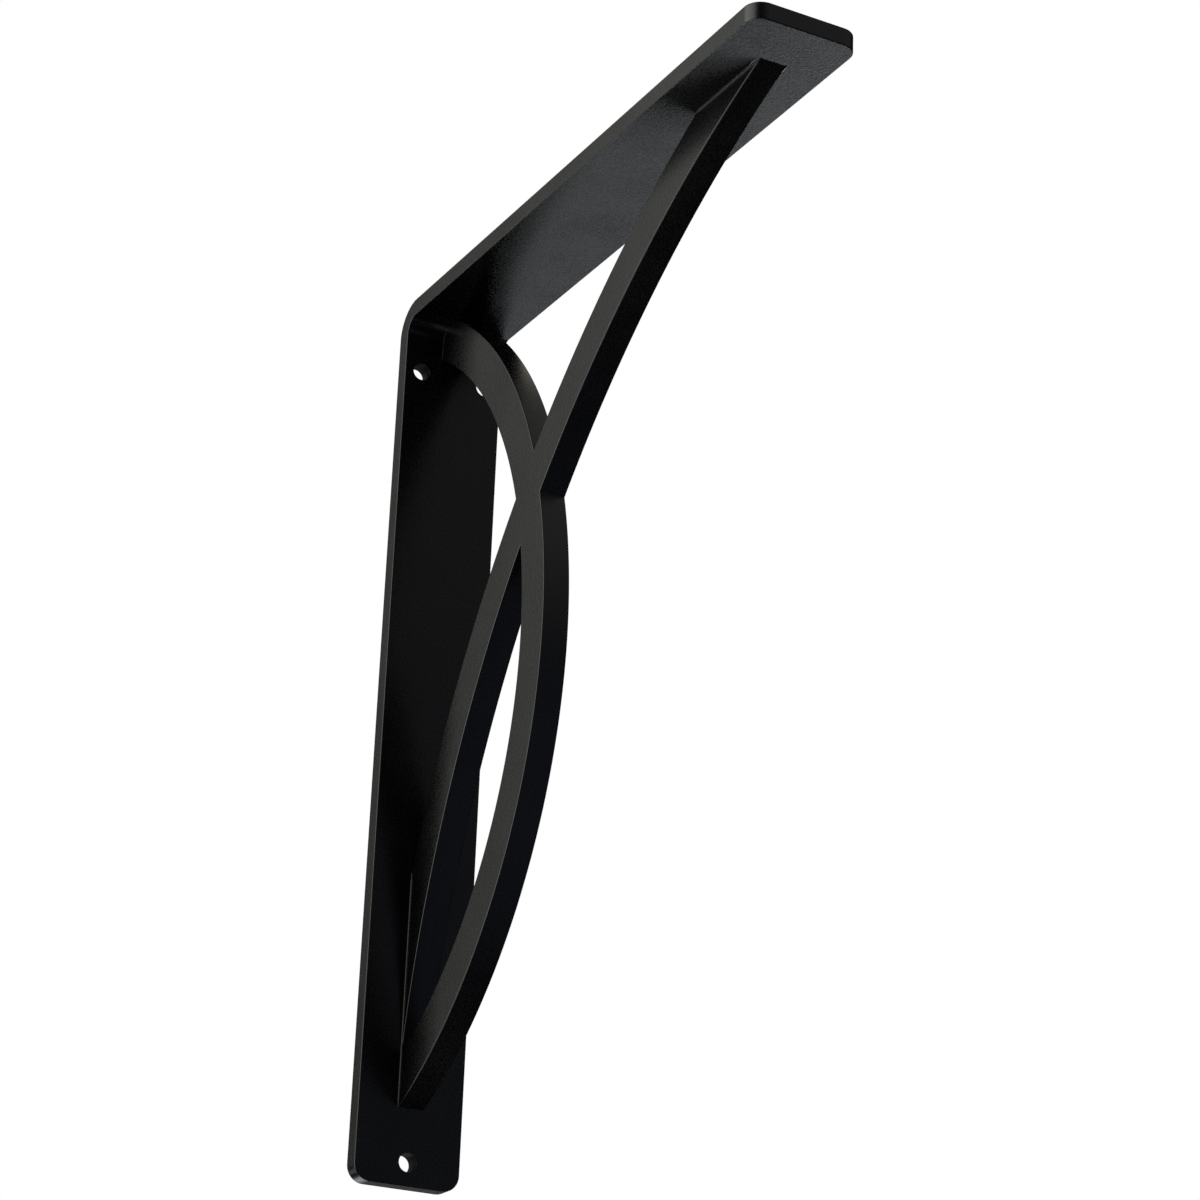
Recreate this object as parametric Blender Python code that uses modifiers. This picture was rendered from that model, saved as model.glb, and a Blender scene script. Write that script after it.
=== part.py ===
"""Wrought iron corner bracket, in metres, +Z up.

A flat strap is bent to a right angle. One leg is screwed to the wall and the other carries the shelf.
A brace of two crossing curved bars, flush with each other, holds the two legs apart.
The wall's face is the plane y = 0 and the bracket stands out of it towards -Y. The origin is the
middle of the strap's flat face on the wall, and outlines are drawn as (y, z) points in that frame.
"""

from math import atan2, copysign, cos, hypot, pi, radians, sin, sqrt

import bmesh
import bpy

# Strap
STRAP_WIDTH = 0.0508
STRAP_THICKNESS = 0.0082
HEIGHT = 0.4240
REACH = 0.3280
BEND_RADIUS = 0.0160
CORNER_RADIUS = 0.0078

# Screw holes, with heights above the strap's foot
HOLE_RADIUS = 0.00425
FOOT_HOLE_HEIGHT = 0.0106
HEAD_HOLES_HEIGHT = 0.3904
HEAD_HOLES_SPACING = 0.0336

# Bars of the brace: the strut hollows towards the front, the bow swells towards it
BAR_WIDTH = 0.0127
BAR_DEPTH = 0.0210
STRUT_RADIUS = 0.4666
STRUT_FOOT_HEIGHT = 0.0576
STRUT_HEAD_REACH = 0.3016
BOW_RADIUS = 0.2181
BOW_FOOT_HEIGHT = 0.0344
BOW_HEAD_REACH = 0.0215

# Clearance between the brace and the strap that it is welded to
WELD_GAP = 0.0003

# Facets
BEND_STEPS = 12
CORNER_STEPS = 8
HOLE_SIDES = 32
BAR_STEPS = 48

# Finish: satin black coat
COAT_COLOUR = (0.020, 0.021, 0.022, 1.0)
COAT_ROUGHNESS = 0.45

# Levels and faces that follow from the sizes above
WALL_FLAT = HEIGHT - BEND_RADIUS
FOOT_Z = -WALL_FLAT / 2
TOP_Z = FOOT_Z + HEIGHT
LEG_Y = -STRAP_THICKNESS
UNDER_Z = TOP_Z - STRAP_THICKNESS
INNER_RADIUS = BEND_RADIUS - STRAP_THICKNESS


def arc(centre, radius, start, end, steps):
    """Points on a circle; angle 0 is towards +y and a right angle is towards +z."""
    points = []
    for step in range(steps + 1):
        angle = start + (end - start) * step / steps
        points.append((centre[0] + radius * cos(angle), centre[1] + radius * sin(angle)))
    return points


def arc_centre(foot, head, radius):
    """Centre of a circle through two points, on the left of the way from the first to the second."""
    chord_y = head[0] - foot[0]
    chord_z = head[1] - foot[1]
    chord = hypot(chord_y, chord_z)
    offset = sqrt(radius ** 2 - chord ** 2 / 4)
    middle_y = (foot[0] + head[0]) / 2
    middle_z = (foot[1] + head[1]) / 2
    return (middle_y - offset * chord_z / chord, middle_z + offset * chord_y / chord)


def strap_outline():
    """Side view of the strap: up the wall face, round the bend, out to the tip and back inside."""
    bend_centre = (-BEND_RADIUS, TOP_Z - BEND_RADIUS)
    outline = [(0, FOOT_Z)]
    outline += arc(bend_centre, BEND_RADIUS, 0, pi / 2, BEND_STEPS)
    outline += [(-REACH, TOP_Z), (-REACH, UNDER_Z)]
    outline += arc(bend_centre, INNER_RADIUS, pi / 2, 0, BEND_STEPS)
    outline += [(LEG_Y, FOOT_Z)]
    return outline


def corner_space_outline():
    """Side view of the space inside the angle, where the brace fits, a weld gap clear of the strap."""
    bend_centre = (-BEND_RADIUS, TOP_Z - BEND_RADIUS)
    outline = [(LEG_Y - WELD_GAP, FOOT_Z)]
    outline += arc(bend_centre, INNER_RADIUS - WELD_GAP, 0, pi / 2, BEND_STEPS)
    outline += [(-REACH, UNDER_Z - WELD_GAP), (-REACH, FOOT_Z)]
    return outline


def bar_outline(centre, foot, head, edge_radius, back_radius):
    """Side view of a curved bar, given by the edge through its foot and head points.

    Both ends run on into the strap by one bar depth, until the corner space trims them.
    """
    start = atan2(foot[1] - centre[1], foot[0] - centre[0]) % (2 * pi)
    end = atan2(head[1] - centre[1], head[0] - centre[0]) % (2 * pi)
    overrun = copysign(BAR_DEPTH / edge_radius, end - start)
    start -= overrun
    end += overrun
    edge = arc(centre, edge_radius, start, end, BAR_STEPS)
    back = arc(centre, back_radius, end, start, BAR_STEPS)
    return edge + back


def strut_outline():
    """Its centre of curvature is in front of the bracket, so its front edge is the inner one."""
    foot = (LEG_Y, FOOT_Z + STRUT_FOOT_HEIGHT)
    head = (-STRUT_HEAD_REACH, UNDER_Z)
    centre = arc_centre(foot, head, STRUT_RADIUS)
    return bar_outline(centre, foot, head, STRUT_RADIUS, STRUT_RADIUS + BAR_DEPTH)


def bow_outline():
    """Its centre of curvature is behind the wall, so its front edge is the outer one."""
    foot = (LEG_Y, FOOT_Z + BOW_FOOT_HEIGHT)
    head = (-BOW_HEAD_REACH, UNDER_Z)
    centre = arc_centre(head, foot, BOW_RADIUS)
    return bar_outline(centre, foot, head, BOW_RADIUS, BOW_RADIUS - BAR_DEPTH)


def extruded(name, outline, width, collection):
    """A solid from a side view, thickened equally to the left and to the right."""
    curve = bpy.data.curves.new(name, "CURVE")
    curve.dimensions = "2D"
    curve.fill_mode = "BOTH"
    curve.extrude = width / 2
    spline = curve.splines.new("POLY")
    spline.points.add(len(outline) - 1)
    for point, (y, z) in zip(spline.points, outline):
        point.co = (y, z, 0, 1)
    spline.use_cyclic_u = True
    drawing = bpy.data.objects.new(name + "_drawing", curve)
    drawing.rotation_euler = (pi / 2, 0, pi / 2)
    collection.objects.link(drawing)
    bpy.context.view_layer.update()

    seen = drawing.evaluated_get(bpy.context.evaluated_depsgraph_get())
    mesh = bpy.data.meshes.new_from_object(seen)
    mesh.name = name
    work = bmesh.new()
    work.from_mesh(mesh)
    bmesh.ops.remove_doubles(work, verts=work.verts, dist=0.00001)
    bmesh.ops.dissolve_limit(work, angle_limit=radians(0.5), verts=work.verts, edges=work.edges)
    bmesh.ops.recalc_face_normals(work, faces=work.faces)
    work.to_mesh(mesh)
    work.free()

    solid = bpy.data.objects.new(name, mesh)
    solid.matrix_world = drawing.matrix_world
    collection.objects.link(solid)
    bpy.data.objects.remove(drawing)
    return solid


def hidden(tool):
    """Marks a shape that only cuts, joins or trims another."""
    tool.hide_render = True
    tool.display_type = "WIRE"
    return tool


def combine(solid, tool, operation):
    boolean = solid.modifiers.new(operation.lower() + "_" + tool.name, "BOOLEAN")
    boolean.operation = operation
    boolean.solver = "EXACT"
    boolean.object = tool


def round_end_corners(solid):
    """Rounds the strap's foot and tip, seen square on: the four short edges at its two ends."""
    mesh = solid.data
    weights = mesh.attributes.new("bevel_weight_edge", "FLOAT", "EDGE")
    for edge in mesh.edges:
        ends = [solid.matrix_world @ mesh.vertices[index].co for index in edge.vertices]
        across = abs(ends[0].x - ends[1].x) > 0.0001
        at_foot = all(abs(end.z - FOOT_Z) < 0.0001 for end in ends)
        at_tip = all(abs(end.y + REACH) < 0.0001 for end in ends)
        if not across and (at_foot or at_tip):
            weights.data[edge.index].value = 1.0
    bevel = solid.modifiers.new("end_corners", "BEVEL")
    bevel.limit_method = "WEIGHT"
    bevel.width = CORNER_RADIUS
    bevel.segments = CORNER_STEPS


def hole_cutter(name, x, height, collection):
    """A cylinder through the wall leg, longer than the strap is thick."""
    mesh = bpy.data.meshes.new(name)
    work = bmesh.new()
    bmesh.ops.create_cone(work, cap_ends=True, segments=HOLE_SIDES, radius1=HOLE_RADIUS,
                          radius2=HOLE_RADIUS, depth=3 * STRAP_THICKNESS)
    work.to_mesh(mesh)
    work.free()
    cutter = bpy.data.objects.new(name, mesh)
    cutter.location = (x, LEG_Y / 2, FOOT_Z + height)
    cutter.rotation_euler = (pi / 2, 0, 0)
    collection.objects.link(cutter)
    return hidden(cutter)


def coat(name):
    material = bpy.data.materials.new(name)
    material.use_nodes = True
    shader = material.node_tree.nodes["Principled BSDF"]
    shader.inputs["Base Color"].default_value = COAT_COLOUR
    shader.inputs["Roughness"].default_value = COAT_ROUGHNESS
    shader.inputs["Metallic"].default_value = 0.0
    return material


def smooth_curved_faces(solid):
    solid.data.shade_smooth()
    solid.data.set_sharp_from_angle(angle=radians(30))


def build_strap(pieces, cutters):
    strap = extruded("bent_strap", strap_outline(), STRAP_WIDTH, pieces)
    round_end_corners(strap)
    side = HEAD_HOLES_SPACING / 2
    combine(strap, hole_cutter("foot_hole", 0, FOOT_HOLE_HEIGHT, cutters), "DIFFERENCE")
    combine(strap, hole_cutter("head_hole_left", -side, HEAD_HOLES_HEIGHT, cutters), "DIFFERENCE")
    combine(strap, hole_cutter("head_hole_right", side, HEAD_HOLES_HEIGHT, cutters), "DIFFERENCE")
    strap.data.materials.append(coat("strap_coat"))
    smooth_curved_faces(strap)


def build_brace(pieces, cutters):
    brace = extruded("crossed_brace", strut_outline(), BAR_WIDTH, pieces)
    bow = hidden(extruded("bow_bar", bow_outline(), BAR_WIDTH, cutters))
    space = hidden(extruded("corner_space", corner_space_outline(), STRAP_WIDTH, cutters))
    combine(brace, bow, "UNION")
    combine(brace, space, "INTERSECT")
    brace.data.materials.append(coat("brace_coat"))
    smooth_curved_faces(brace)


def main():
    for leftover in list(bpy.data.objects):
        bpy.data.objects.remove(leftover)
    pieces = bpy.data.collections.new("wrought_iron_bracket")
    cutters = bpy.data.collections.new("cutters")
    bpy.context.scene.collection.children.link(pieces)
    bpy.context.scene.collection.children.link(cutters)
    build_strap(pieces, cutters)
    build_brace(pieces, cutters)


main()
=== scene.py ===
"""Looks of the wrought iron bracket: rounded strap and brace, weld fillets, satin black coat, studio.

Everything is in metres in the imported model's frame. The wall's face is the plane y = 0, the bracket
stands out of it towards -Y, and +Z is up. Outlines are (y, z) points in that frame.
"""

from math import atan2, copysign, cos, hypot, pi, radians, sin, sqrt

import bmesh
import bpy
from mathutils import Matrix, Vector


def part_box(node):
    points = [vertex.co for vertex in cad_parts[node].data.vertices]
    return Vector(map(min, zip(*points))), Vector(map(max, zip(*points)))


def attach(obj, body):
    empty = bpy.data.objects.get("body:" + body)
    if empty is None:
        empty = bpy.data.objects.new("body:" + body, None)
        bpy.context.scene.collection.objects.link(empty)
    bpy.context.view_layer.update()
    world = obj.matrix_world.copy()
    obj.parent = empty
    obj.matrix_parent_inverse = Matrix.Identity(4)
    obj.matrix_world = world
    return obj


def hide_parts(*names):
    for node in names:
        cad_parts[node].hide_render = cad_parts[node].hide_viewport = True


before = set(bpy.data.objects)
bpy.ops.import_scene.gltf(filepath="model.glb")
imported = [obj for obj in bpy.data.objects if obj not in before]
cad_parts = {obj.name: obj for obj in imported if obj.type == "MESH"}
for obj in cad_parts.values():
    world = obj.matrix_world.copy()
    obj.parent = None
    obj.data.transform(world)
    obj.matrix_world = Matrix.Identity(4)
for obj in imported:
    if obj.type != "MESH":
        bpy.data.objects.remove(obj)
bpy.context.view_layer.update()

# Sizes read from the frame
STRAP_LOW, STRAP_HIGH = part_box("bent_strap")
BRACE_LOW, BRACE_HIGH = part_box("crossed_brace")
STRAP_WIDTH = STRAP_HIGH.x - STRAP_LOW.x
FOOT_Z = STRAP_LOW.z
TOP_Z = STRAP_HIGH.z
REACH = -STRAP_LOW.y
BAR_WIDTH = BRACE_HIGH.x - BRACE_LOW.x

# Strap
STRAP_THICKNESS = 0.0082
BEND_RADIUS = 0.0160
CORNER_RADIUS = 0.0078
HOLE_RADIUS = 0.00425
FOOT_HOLE_HEIGHT = 0.0106
HEAD_HOLES_HEIGHT = 0.3904
HEAD_HOLES_SPACING = 0.0336

# Bars of the brace
BAR_DEPTH = 0.0210
STRUT_RADIUS = 0.4666
STRUT_FOOT_HEIGHT = 0.0576
STRUT_HEAD_REACH = 0.3016
BOW_RADIUS = 0.2181
BOW_FOOT_HEIGHT = 0.0344
BOW_HEAD_REACH = 0.0215

# Rounding of the edges
EDGE_RADIUS = 0.00045
HOLE_EDGE_RADIUS = 0.00015

# Weld fillets: their radii, how they thin out to their ends, and how deep they sit in the metal
LEG_FILLET = 0.0007
BOW_HEAD_FILLET = 0.0002
STRUT_HEAD_FILLET = 0.0010
FILLET_TAPER = 0.0040
FILLET_END_SIZE = 0.3
FILLET_ROOT = 0.0002
BRACE_SINK = 0.0001

# Facets
EDGE_STEPS = 4
BEND_STEPS = 32
CORNER_STEPS = 12
HOLE_SIDES = 72
BAR_STEPS = 180
FILLET_STEPS = 5
FILLET_SPACING = 0.002
FILLET_LEAST_STEPS = 4

# Angles between faces, in degrees: past the first an edge is shaded sharp, past the second it is square
SHARP_ANGLE = 40.0
SQUARE_ANGLE = 60.0

# How strongly a flat face's normal counts in the smooth shading beside it
FLAT_FACE_WEIGHT = 100

# Tolerances: how near counts as on a face, how near as on a hole's rim, and how far the normal of a
# hole's wall may lean towards y
NEAR = 0.0001
RIM_REACH = 1.02 * HOLE_RADIUS
WALL_TILT = 0.3

# Satin coat: colour, roughness and shine, and the sizes of its patches, orange peel and grain
COAT_DARK = (0.0006, 0.0006, 0.0007, 1.0)
COAT_LIGHT = (0.0016, 0.0016, 0.0017, 1.0)
COAT_ROUGHNESS = (0.25, 0.29)
COAT_SHINE = 0.50
HOLE_ROUGHNESS = (0.60, 0.75)
HOLE_SHINE = 0.20
PATCH_SIZE = 0.030
PATCH_DETAIL = 3.0
PEEL_SIZE = 0.0035
PEEL_DEPTH = 0.000010
GRAIN_SIZE = 0.0011
GRAIN_DEPTH = 0.000040
GRAIN_ROUGHNESS = 0.035
FINE_DETAIL = 1.0
NOISE_MIDDLE = (0.3, 0.7)

# Studio: each light has its direction, the cosine where it starts, the cosine where it is full, and its
# colour, and they add up. Nine of them were chosen by a fit to the photo's brightness, then rounded and
# changed. All are tuned for the photo's viewing angle
STUDIO_BASE = (0.003, 0.003, 0.004)
STUDIO_LIGHTS = [
    ((-0.93, 0.22, 0.29), 0.600, 1.000, (2.20, 2.25, 2.10)),
    ((0.60, 0.72, -0.35), 0.985, 0.995, (4.20, 4.40, 4.60)),
    ((-0.21, 0.01, -0.98), 0.870, 0.940, (1.40, 1.42, 1.50)),
    ((0.36, -0.87, -0.33), 0.600, 1.000, (0.09, 0.10, 0.14)),
    ((0.12, 0.56, 0.82), 0.840, 1.000, (1.20, 1.14, 0.96)),
    ((-0.51, 0.80, -0.32), 0.985, 0.995, (1.70, 1.80, 1.80)),
    ((0.08, 0.78, -0.62), 0.950, 0.980, (1.90, 1.95, 2.00)),
    ((0.20, 0.86, -0.47), 0.900, 1.000, (0.29, 0.30, 0.31)),
    ((0.31, -0.39, 0.86), 0.600, 1.000, (0.28, 0.28, 0.27)),
    ((0.17, 0.71, -0.68), 0.985, 0.995, (4.00, 4.00, 4.20)),
    ((-0.92, 0.25, -0.15), 0.900, 1.000, (2.00, 2.00, 2.05)),
    ((-0.85, -0.35, 0.00), 0.700, 1.000, (0.25, 0.25, 0.26)),
]
BACKGROUND_WHITE = (1.0, 1.0, 1.0, 1.0)

# Camera, with its angles in degrees
CAMERA_PLACE = (-0.5910, -1.2810, -0.4881)
CAMERA_AZIMUTH = 28.178
CAMERA_ELEVATION = 22.221
CAMERA_ROLL = 2.083
LENS = 96.57
SENSOR_WIDTH = 36.0
SHIFT = (-0.010, -0.015)

# Floor, well below the bracket because the camera looks up at it
FLOOR_Z = FOOT_Z - 1.30
FLOOR_RADIUS = 30.0
FLOOR_SIDES = 96
FLOOR_COLOUR = (0.80, 0.80, 0.79, 1.0)
FLOOR_ROUGHNESS = 0.9
FLOOR_LIGHT_STRENGTH = 2.7
FLOOR_LIGHT_SPREAD = 60.0

# Faces that follow from the sizes above
LEG_Y = -STRAP_THICKNESS
UNDER_Z = TOP_Z - STRAP_THICKNESS
INNER_RADIUS = BEND_RADIUS - STRAP_THICKNESS
BEND_CENTRE = (-BEND_RADIUS, TOP_Z - BEND_RADIUS)


def arc(centre, radius, start, end, steps):
    """Points on a circle; angle 0 is towards +y and a right angle is towards +z."""
    points = []
    for step in range(steps + 1):
        angle = start + (end - start) * step / steps
        points.append((centre[0] + radius * cos(angle), centre[1] + radius * sin(angle)))
    return points


def arc_centre(foot, head, radius):
    """Centre of a circle through two points, on the left of the way from the first to the second."""
    chord_y = head[0] - foot[0]
    chord_z = head[1] - foot[1]
    chord = hypot(chord_y, chord_z)
    offset = sqrt(radius ** 2 - chord ** 2 / 4)
    middle_y = (foot[0] + head[0]) / 2
    middle_z = (foot[1] + head[1]) / 2
    return (middle_y - offset * chord_z / chord, middle_z + offset * chord_y / chord)


def new_object(name, work):
    """A linked object from a bmesh, which is freed."""
    bmesh.ops.recalc_face_normals(work, faces=work.faces)
    mesh = bpy.data.meshes.new(name)
    work.to_mesh(mesh)
    work.free()
    piece = bpy.data.objects.new(name, mesh)
    bpy.context.scene.collection.objects.link(piece)
    return piece


def extruded(name, outline, width):
    """A solid from a side view, thickened equally to the left and to the right."""
    work = bmesh.new()
    left = [work.verts.new((-width / 2, y, z)) for y, z in outline]
    right = [work.verts.new((width / 2, y, z)) for y, z in outline]
    work.faces.new(left)
    work.faces.new(reversed(right))
    for index in range(len(outline)):
        after = (index + 1) % len(outline)
        work.faces.new((left[index], right[index], right[after], left[after]))
    return new_object(name, work)


def swept(name, sections):
    """A closed solid through rings of equally many points, with flat ends."""
    work = bmesh.new()
    rings = [[work.verts.new(point) for point in section] for section in sections]
    for ring, following in zip(rings, rings[1:]):
        for index in range(len(ring)):
            after = (index + 1) % len(ring)
            work.faces.new((ring[index], ring[after], following[after], following[index]))
    work.faces.new(reversed(rings[0]))
    work.faces.new(rings[-1])
    return new_object(name, work)


def apply_boolean(solid, tool, operation):
    """Joins, cuts or trims a solid with another, which is then removed."""
    boolean = solid.modifiers.new(operation.lower(), "BOOLEAN")
    boolean.operation = operation
    boolean.solver = "EXACT"
    boolean.object = tool
    depsgraph = bpy.context.evaluated_depsgraph_get()
    made = bpy.data.meshes.new_from_object(solid.evaluated_get(depsgraph))
    solid.modifiers.remove(boolean)
    solid.data = made
    bpy.data.objects.remove(tool)


def shade(piece):
    """Smooth shading that leaves the flat faces flat."""
    piece.data.shade_smooth()
    piece.data.set_sharp_from_angle(angle=radians(SHARP_ANGLE))
    weighted = piece.modifiers.new("flat_faces", "WEIGHTED_NORMAL")
    weighted.weight = FLAT_FACE_WEIGHT
    weighted.keep_sharp = True


def strap_outline():
    """Side view of the strap: up the wall face, round the bend, out to the tip and back inside."""
    outline = [(0, FOOT_Z)]
    outline += arc(BEND_CENTRE, BEND_RADIUS, 0, pi / 2, BEND_STEPS)
    outline += [(-REACH, TOP_Z), (-REACH, UNDER_Z)]
    outline += arc(BEND_CENTRE, INNER_RADIUS, pi / 2, 0, BEND_STEPS)
    outline += [(LEG_Y, FOOT_Z)]
    return outline


def bevel(work, edges, radius, steps):
    """Rounds some edges of a bmesh."""
    bmesh.ops.bevel(work, geom=edges, offset=radius, segments=steps, profile=0.5, affect="EDGES")


def round_end_corners(strap):
    """Rounds the foot and the tip, seen square on."""
    work = bmesh.new()
    work.from_mesh(strap.data)
    chosen = []
    for edge in work.edges:
        ends = [vert.co for vert in edge.verts]
        across = abs(ends[0].x - ends[1].x) > NEAR
        at_foot = all(abs(end.z - FOOT_Z) < NEAR for end in ends)
        at_tip = all(abs(end.y + REACH) < NEAR for end in ends)
        if not across and (at_foot or at_tip):
            chosen.append(edge)
    bevel(work, chosen, CORNER_RADIUS, CORNER_STEPS)
    work.to_mesh(strap.data)
    work.free()


def hole_cutter(x, height):
    """A cylinder through the wall leg, longer than the strap is thick."""
    work = bmesh.new()
    place = Matrix.Translation((x, LEG_Y / 2, FOOT_Z + height)) @ Matrix.Rotation(pi / 2, 4, "X")
    bmesh.ops.create_cone(work, cap_ends=True, segments=HOLE_SIDES, radius1=HOLE_RADIUS,
                          radius2=HOLE_RADIUS, depth=3 * STRAP_THICKNESS, matrix=place)
    return new_object("hole_cutter", work)


def hole_places():
    """Each screw hole's x and its height above the foot."""
    side = HEAD_HOLES_SPACING / 2
    return [(0, FOOT_HOLE_HEIGHT), (-side, HEAD_HOLES_HEIGHT), (side, HEAD_HOLES_HEIGHT)]


def is_square(edge):
    return edge.is_manifold and edge.calc_face_angle() > radians(SQUARE_ANGLE)


def on_hole_rim(edge):
    for x, height in hole_places():
        distances = [hypot(vert.co.x - x, vert.co.z - FOOT_Z - height) for vert in edge.verts]
        if max(distances) < RIM_REACH:
            return True
    return False


def round_strap_edges(strap):
    """Rounds every square edge, and the rims of the holes less."""
    work = bmesh.new()
    work.from_mesh(strap.data)
    square = [edge for edge in work.edges if is_square(edge)]
    rims = [edge for edge in square if on_hole_rim(edge)]
    outer = [edge for edge in square if not on_hole_rim(edge)]
    bevel(work, rims, HOLE_EDGE_RADIUS, EDGE_STEPS)
    outer = [edge for edge in outer if edge.is_valid]
    bevel(work, outer, EDGE_RADIUS, EDGE_STEPS)
    work.to_mesh(strap.data)
    work.free()


def mark_hole_walls(strap):
    """Gives the walls of the holes the piece's second material."""
    for face in strap.data.polygons:
        if abs(face.normal.y) > WALL_TILT:
            continue
        for x, height in hole_places():
            if hypot(face.center.x - x, face.center.z - FOOT_Z - height) < RIM_REACH:
                face.material_index = 1


def build_strap():
    strap = extruded("strap_with_rounded_edges", strap_outline(), STRAP_WIDTH)
    round_end_corners(strap)
    for x, height in hole_places():
        apply_boolean(strap, hole_cutter(x, height), "DIFFERENCE")
    round_strap_edges(strap)
    shade(strap)
    return strap


def bar_section(inner, outer):
    """Section of a bar as (x, radius) points, a rectangle with rounded corners."""
    half = BAR_WIDTH / 2 - EDGE_RADIUS
    low = inner + EDGE_RADIUS
    high = outer - EDGE_RADIUS
    section = []
    for corner, (x, radius) in enumerate([(half, high), (-half, high), (-half, low), (half, low)]):
        section += arc((x, radius), EDGE_RADIUS, corner * pi / 2, (corner + 1) * pi / 2, EDGE_STEPS)
    return section


def bar(name, centre, foot, head, edge_radius, back_radius):
    """A curved bar, given by the edge through its foot and head points, run on at both ends."""
    start = atan2(foot[1] - centre[1], foot[0] - centre[0]) % (2 * pi)
    end = atan2(head[1] - centre[1], head[0] - centre[0]) % (2 * pi)
    overrun = copysign(BAR_DEPTH / edge_radius, end - start)
    start -= overrun
    end += overrun
    section = bar_section(min(edge_radius, back_radius), max(edge_radius, back_radius))
    rings = []
    for step in range(BAR_STEPS + 1):
        angle = start + (end - start) * step / BAR_STEPS
        ring = [(x, centre[0] + r * cos(angle), centre[1] + r * sin(angle)) for x, r in section]
        rings.append(ring)
    return swept(name, rings)


def strut_centre():
    return arc_centre((LEG_Y, FOOT_Z + STRUT_FOOT_HEIGHT), (-STRUT_HEAD_REACH, UNDER_Z), STRUT_RADIUS)


def bow_centre():
    return arc_centre((-BOW_HEAD_REACH, UNDER_Z), (LEG_Y, FOOT_Z + BOW_FOOT_HEIGHT), BOW_RADIUS)


def corner_space():
    """The space inside the angle, grown so that the brace sinks into the strap by a hair."""
    outline = [(LEG_Y + BRACE_SINK, FOOT_Z)]
    outline += arc(BEND_CENTRE, INNER_RADIUS + BRACE_SINK, 0, pi / 2, BEND_STEPS)
    outline += [(-REACH, UNDER_Z + BRACE_SINK), (-REACH, FOOT_Z)]
    return extruded("corner_space", outline, STRAP_WIDTH)


def build_brace():
    strut = bar("brace_with_rounded_edges", strut_centre(), (LEG_Y, FOOT_Z + STRUT_FOOT_HEIGHT),
                (-STRUT_HEAD_REACH, UNDER_Z), STRUT_RADIUS, STRUT_RADIUS + BAR_DEPTH)
    bow = bar("bow", bow_centre(), (LEG_Y, FOOT_Z + BOW_FOOT_HEIGHT), (-BOW_HEAD_REACH, UNDER_Z),
              BOW_RADIUS, BOW_RADIUS - BAR_DEPTH)
    apply_boolean(strut, bow, "UNION")
    apply_boolean(strut, corner_space(), "INTERSECT")
    shade(strut)
    return strut


def inner_face(distance):
    """Point and normal of the strap's inner face, at a distance from the foot along that face."""
    leg = BEND_CENTRE[1] - FOOT_Z
    bend = INNER_RADIUS * pi / 2
    if distance <= leg:
        return (LEG_Y, FOOT_Z + distance), (-1.0, 0.0)
    if distance <= leg + bend:
        angle = (distance - leg) / INNER_RADIUS
        point = (BEND_CENTRE[0] + INNER_RADIUS * cos(angle), BEND_CENTRE[1] + INNER_RADIUS * sin(angle))
        return point, (-cos(angle), -sin(angle))
    return (BEND_CENTRE[0] - (distance - leg - bend), UNDER_Z), (0.0, -1.0)


def height_on_leg(centre, radius):
    """Distance from the foot to where a circle behind or in front of the leg crosses its inner face."""
    across = LEG_Y - centre[0]
    rise = sqrt(radius ** 2 - across ** 2)
    return centre[1] + rise - FOOT_Z, centre[1] - rise - FOOT_Z


def reach_on_underside(centre, radius):
    """Distance from the foot, along the inner face, to where a circle crosses the underside."""
    rise = UNDER_Z - centre[1]
    run = sqrt(radius ** 2 - rise ** 2)
    start = BEND_CENTRE[1] - FOOT_Z + INNER_RADIUS * pi / 2
    return start + BEND_CENTRE[0] - (centre[0] + run), start + BEND_CENTRE[0] - (centre[0] - run)


def contacts():
    """Stretches of the strap's inner face that the brace meets, as distances from the foot.

    Each comes with the radius of its weld fillets.
    """
    strut = strut_centre()
    bow = bow_centre()
    strut_back_on_leg = height_on_leg(strut, STRUT_RADIUS + BAR_DEPTH)[0]
    bow_back_on_leg = height_on_leg(bow, BOW_RADIUS - BAR_DEPTH)[0]
    bow_head = reach_on_underside(bow, BOW_RADIUS)[1]
    strut_back = reach_on_underside(strut, STRUT_RADIUS + BAR_DEPTH)[0]
    strut_front = reach_on_underside(strut, STRUT_RADIUS)[0]
    return [
        (BOW_FOOT_HEIGHT, strut_back_on_leg, LEG_FILLET),
        (bow_back_on_leg, bow_head, BOW_HEAD_FILLET),
        (strut_back, strut_front, STRUT_HEAD_FILLET),
    ]


def fillet_section(distance, size, side):
    """Section of a weld fillet between the strap's inner face and a side face of the brace."""
    (y, z), (normal_y, normal_z) = inner_face(distance)
    flat = [(size, -FILLET_ROOT), (-FILLET_ROOT, -FILLET_ROOT), (-FILLET_ROOT, size)]
    hollow = arc((size, size), size, pi, 3 * pi / 2, FILLET_STEPS)
    points = []
    for out, away in hollow + flat:
        x = side * (BAR_WIDTH / 2 + out)
        points.append((x, y + normal_y * away, z + normal_z * away))
    return points


def fillet(name, start, end, radius, side):
    """A weld fillet along one side of a contact, thinning out to both ends."""
    steps = max(FILLET_LEAST_STEPS, round((end - start) / FILLET_SPACING))
    rings = []
    for step in range(steps + 1):
        distance = start + (end - start) * step / steps
        to_end = min(distance - start, end - distance)
        size = radius * min(1.0, FILLET_END_SIZE + (1.0 - FILLET_END_SIZE) * to_end / FILLET_TAPER)
        rings.append(fillet_section(distance, size, side))
    return swept(name, rings)


def joined(name, parts):
    """One object from several, which are removed."""
    work = bmesh.new()
    for part in parts:
        work.from_mesh(part.data)
        bpy.data.objects.remove(part)
    return new_object(name, work)


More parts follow.
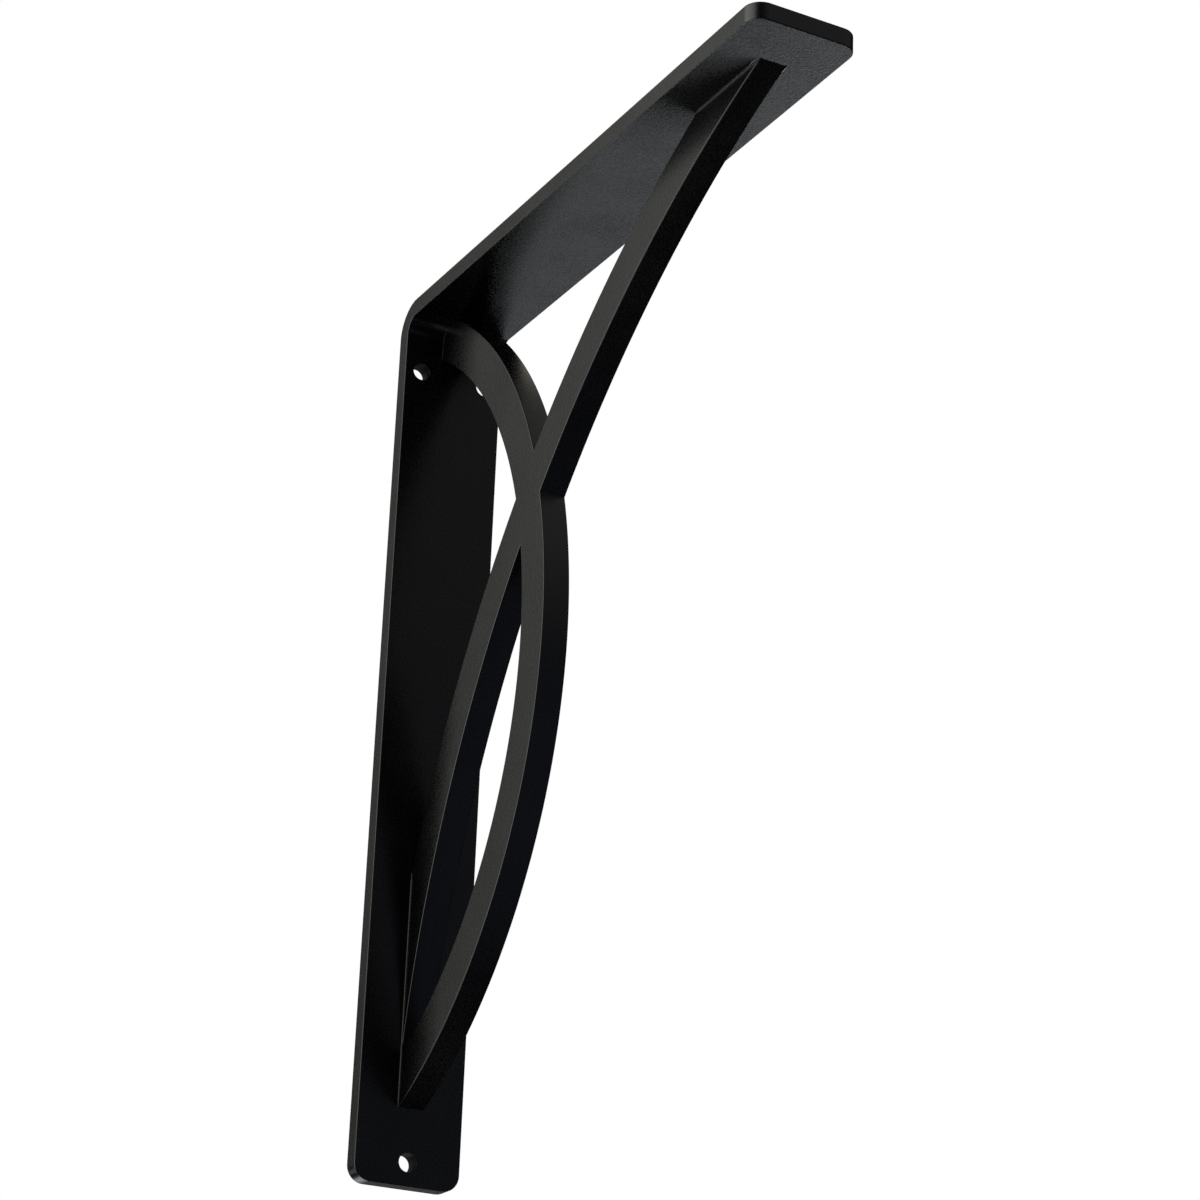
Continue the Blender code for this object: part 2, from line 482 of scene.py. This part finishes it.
def build_fillets():
    parts = []
    for start, end, radius in contacts():
        for side in (-1, 1):
            parts.append(fillet("fillet", start, end, radius, side))
    fillets = joined("weld_fillets", parts)
    fillets.data.shade_smooth()
    fillets.data.set_sharp_from_angle(angle=radians(SHARP_ANGLE))
    return fillets


def link(tree, source, target):
    tree.links.new(source, target)


def noise(tree, coordinates, size, detail):
    node = tree.nodes.new("ShaderNodeTexNoise")
    node.inputs["Scale"].default_value = 1.0 / size
    node.inputs["Detail"].default_value = detail
    link(tree, coordinates, node.inputs["Vector"])
    return node.outputs["Fac"]


def map_range(tree, value, low, high):
    """Spreads the middle of a noise over a range."""
    node = tree.nodes.new("ShaderNodeMapRange")
    node.inputs["From Min"].default_value = NOISE_MIDDLE[0]
    node.inputs["From Max"].default_value = NOISE_MIDDLE[1]
    node.inputs["To Min"].default_value = low
    node.inputs["To Max"].default_value = high
    link(tree, value, node.inputs["Value"])
    return node.outputs["Result"]


def bump(tree, height, depth, normal=None):
    node = tree.nodes.new("ShaderNodeBump")
    node.inputs["Strength"].default_value = 1.0
    node.inputs["Distance"].default_value = depth
    link(tree, height, node.inputs["Height"])
    if normal is not None:
        link(tree, normal, node.inputs["Normal"])
    return node.outputs["Normal"]


def coat(name, roughness, shine):
    """Satin black coat: nearly black, with faint patches, orange peel and a fine grain."""
    material = bpy.data.materials.new(name)
    material.use_nodes = True
    tree = material.node_tree
    shader = tree.nodes["Principled BSDF"]
    shader.inputs["Specular IOR Level"].default_value = shine
    coordinates = tree.nodes.new("ShaderNodeTexCoord").outputs["Object"]
    patches = noise(tree, coordinates, PATCH_SIZE, PATCH_DETAIL)
    colour = tree.nodes.new("ShaderNodeMix")
    colour.data_type = "RGBA"
    colour.inputs["A"].default_value = COAT_DARK
    colour.inputs["B"].default_value = COAT_LIGHT
    link(tree, map_range(tree, patches, 0.0, 1.0), colour.inputs["Factor"])
    link(tree, colour.outputs["Result"], shader.inputs["Base Color"])
    grain = noise(tree, coordinates, GRAIN_SIZE, FINE_DETAIL)
    total = tree.nodes.new("ShaderNodeMath")
    total.operation = "ADD"
    link(tree, map_range(tree, patches, *roughness), total.inputs[0])
    link(tree, map_range(tree, grain, -GRAIN_ROUGHNESS, GRAIN_ROUGHNESS), total.inputs[1])
    link(tree, total.outputs["Value"], shader.inputs["Roughness"])
    peel = bump(tree, noise(tree, coordinates, PEEL_SIZE, FINE_DETAIL), PEEL_DEPTH)
    link(tree, bump(tree, grain, GRAIN_DEPTH, peel), shader.inputs["Normal"])
    return material


def finish_piece(piece, materials, slot, *nodes):
    """Coats a piece, fixes it to the bracket's body and hides the imported parts it stands for."""
    piece.data.materials.clear()
    for material in materials:
        piece.data.materials.append(material)
    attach(piece, "root")
    if nodes:
        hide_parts(*nodes)


def studio_light(tree, coordinates, light, before):
    """Adds one soft light to the surroundings."""
    direction, start, full, colour = light
    facing = tree.nodes.new("ShaderNodeVectorMath")
    facing.operation = "DOT_PRODUCT"
    facing.inputs[1].default_value = Vector(direction).normalized()
    link(tree, coordinates, facing.inputs[0])
    spread = tree.nodes.new("ShaderNodeMapRange")
    spread.interpolation_type = "SMOOTHSTEP"
    spread.inputs["From Min"].default_value = start
    spread.inputs["From Max"].default_value = full
    link(tree, facing.outputs["Value"], spread.inputs["Value"])
    total = tree.nodes.new("ShaderNodeVectorMath")
    total.operation = "MULTIPLY_ADD"
    total.inputs[1].default_value = colour
    link(tree, spread.outputs["Result"], total.inputs[0])
    if before is None:
        total.inputs[2].default_value = STUDIO_BASE
    else:
        link(tree, before, total.inputs[2])
    return total.outputs["Vector"]


def build_studio():
    """Surroundings that the coat mirrors; the camera sees plain white."""
    world = bpy.data.worlds.new("studio")
    bpy.context.scene.world = world
    world.use_nodes = True
    tree = world.node_tree
    tree.nodes.clear()
    coordinates = tree.nodes.new("ShaderNodeTexCoord").outputs["Generated"]
    total = None
    for light in STUDIO_LIGHTS:
        total = studio_light(tree, coordinates, light, total)
    around = tree.nodes.new("ShaderNodeBackground")
    link(tree, total, around.inputs["Color"])
    white = tree.nodes.new("ShaderNodeBackground")
    white.inputs["Color"].default_value = BACKGROUND_WHITE
    seen = tree.nodes.new("ShaderNodeLightPath")
    mix = tree.nodes.new("ShaderNodeMixShader")
    link(tree, seen.outputs["Is Camera Ray"], mix.inputs["Fac"])
    link(tree, around.outputs["Background"], mix.inputs[1])
    link(tree, white.outputs["Background"], mix.inputs[2])
    output = tree.nodes.new("ShaderNodeOutputWorld")
    link(tree, mix.outputs["Shader"], output.inputs["Surface"])


def build_floor():
    """A wide pale floor, lit by a soft light from above that the coat doesn't mirror."""
    work = bmesh.new()
    bmesh.ops.create_circle(work, cap_ends=True, segments=FLOOR_SIDES, radius=FLOOR_RADIUS,
                            matrix=Matrix.Translation((0, 0, FLOOR_Z)))
    floor = new_object("floor", work)
    material = bpy.data.materials.new("floor")
    material.use_nodes = True
    shader = material.node_tree.nodes["Principled BSDF"]
    shader.inputs["Base Color"].default_value = FLOOR_COLOUR
    shader.inputs["Roughness"].default_value = FLOOR_ROUGHNESS
    floor.data.materials.append(material)
    floor.visible_glossy = False
    lamp = bpy.data.lights.new("overhead_light", "SUN")
    lamp.energy = FLOOR_LIGHT_STRENGTH
    lamp.angle = radians(FLOOR_LIGHT_SPREAD)
    light = bpy.data.objects.new("overhead_light", lamp)
    light.visible_glossy = False
    bpy.context.scene.collection.objects.link(light)


def build_camera():
    """The photo's viewing angle, looking up at the bracket from the front left."""
    data = bpy.data.cameras.new("camera")
    data.sensor_width = SENSOR_WIDTH
    data.lens = LENS
    data.shift_x, data.shift_y = SHIFT
    camera = bpy.data.objects.new("camera", data)
    turn = Matrix.Rotation(radians(-CAMERA_AZIMUTH), 4, "Z")
    tilt = Matrix.Rotation(radians(90 + CAMERA_ELEVATION), 4, "X")
    roll = Matrix.Rotation(radians(CAMERA_ROLL), 4, "Z")
    camera.matrix_world = Matrix.Translation(CAMERA_PLACE) @ turn @ tilt @ roll
    bpy.context.scene.collection.objects.link(camera)
    bpy.context.scene.camera = camera


def main():
    build_camera()
    build_studio()
    build_floor()
    strap_coat = coat("strap_coat", COAT_ROUGHNESS, COAT_SHINE)
    brace_coat = coat("brace_coat", COAT_ROUGHNESS, COAT_SHINE)
    hole_coat = coat("hole_coat", HOLE_ROUGHNESS, HOLE_SHINE)
    strap = build_strap()
    finish_piece(strap, [strap_coat, hole_coat], "strap_coat", "bent_strap")
    mark_hole_walls(strap)
    finish_piece(build_brace(), [brace_coat], "brace_coat", "crossed_brace")
    finish_piece(build_fillets(), [brace_coat], "brace_coat")
    bpy.context.scene.view_settings.view_transform = "Standard"


main()
